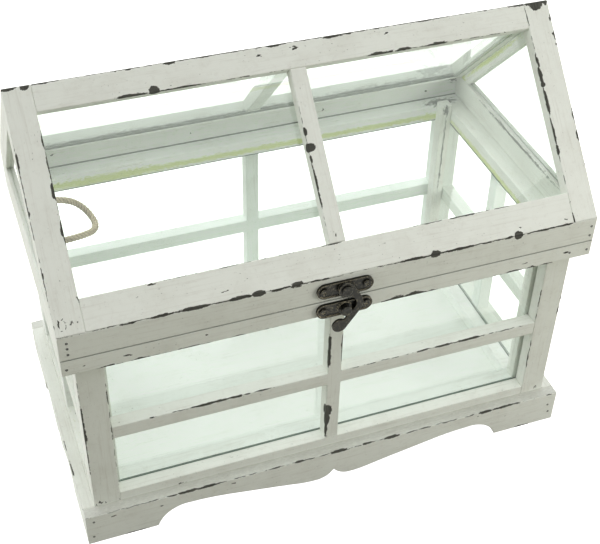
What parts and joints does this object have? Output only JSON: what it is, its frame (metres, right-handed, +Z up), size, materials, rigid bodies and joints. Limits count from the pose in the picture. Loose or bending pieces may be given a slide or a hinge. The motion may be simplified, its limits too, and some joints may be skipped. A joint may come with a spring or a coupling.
{
  "type": "tabletop greenhouse",
  "caption": "Small white wooden greenhouse with glazed walls, a pitched glass lid hinged at the back, a swing latch, a scalloped plinth and a jute stay cord.",
  "frame": {"origin": "middle of the footprint on the ground", "axes": "+X along the length to the right seen from the latch side, +Y to the hinges, +Z up"},
  "size_m": [0.4, 0.24, 0.336],
  "materials": {
    "painted_wood": "distressed white paint",
    "clear_glass": "clear",
    "aged_bronze": "dark aged bronze",
    "jute": "twisted jute"
  },
  "bodies": {
    "case": {"bottom_rail_back": "painted_wood", "bottom_rail_front": "painted_wood", "bottom_rail_left": "painted_wood", "bottom_rail_right": "painted_wood", "corner_batten_back_left": "painted_wood", "corner_batten_back_right": "painted_wood", "corner_batten_front_left": "painted_wood", "corner_batten_front_right": "painted_wood", "corner_post_back_left": "painted_wood", "corner_post_back_right": "painted_wood", "corner_post_front_left": "painted_wood", "corner_post_front_right": "painted_wood", "floor_bead": "painted_wood", "floor_panel": "painted_wood", "glazing_bars_back": "painted_wood", "glazing_bars_front": "painted_wood", "glazing_bars_left": "painted_wood", "glazing_bars_right": "painted_wood", "hinge_case_leaf_left": "aged_bronze", "hinge_case_leaf_right": "aged_bronze", "keeper_plate": "aged_bronze", "keeper_stud": "aged_bronze", "pane_back": "clear_glass", "pane_front": "clear_glass", "pane_left": "clear_glass", "pane_right": "clear_glass", "plinth_board_back": "painted_wood", "plinth_board_front": "painted_wood", "plinth_board_left": "painted_wood", "plinth_board_right": "painted_wood", "rim_board_back": "painted_wood", "rim_board_front": "painted_wood", "rim_board_left": "painted_wood", "rim_board_right": "painted_wood", "stay_cord": "jute"},
    "lid": {"eave_board_back": "painted_wood", "eave_board_front": "painted_wood", "eave_board_left": "painted_wood", "eave_board_right": "painted_wood", "gable_pane_left": "clear_glass", "gable_pane_right": "clear_glass", "gable_rafters_left": "painted_wood", "gable_rafters_right": "painted_wood", "hinge_lid_leaf_left": "aged_bronze", "hinge_lid_leaf_right": "aged_bronze", "latch_pivot": "aged_bronze", "latch_plate": "aged_bronze", "roof_back_bar": "painted_wood", "roof_back_eave_rail": "painted_wood", "roof_back_pane": "clear_glass", "roof_back_ridge_rail": "painted_wood", "roof_back_stile_left": "painted_wood", "roof_back_stile_right": "painted_wood", "roof_front_bar": "painted_wood", "roof_front_eave_rail": "painted_wood", "roof_front_pane": "clear_glass", "roof_front_ridge_rail": "painted_wood", "roof_front_stile_left": "painted_wood", "roof_front_stile_right": "painted_wood"},
    "latch_arm": {"latch_arm": "aged_bronze"}
  },
  "joints": [
    {"name": "lid_hinge", "type": "hinge", "parent": "case", "child": "lid", "pos_m": [0, 0.1167, 0.19515], "axis": [-1, 0, 0], "range_deg": [0, 72], "deforming": ["stay_cord"]},
    {"name": "latch_pivot", "type": "hinge", "parent": "lid", "child": "latch_arm", "pos_m": [0, -0.118, 0.2055], "axis": [0, -1, 0], "range_deg": [0, 100]}
  ]
}
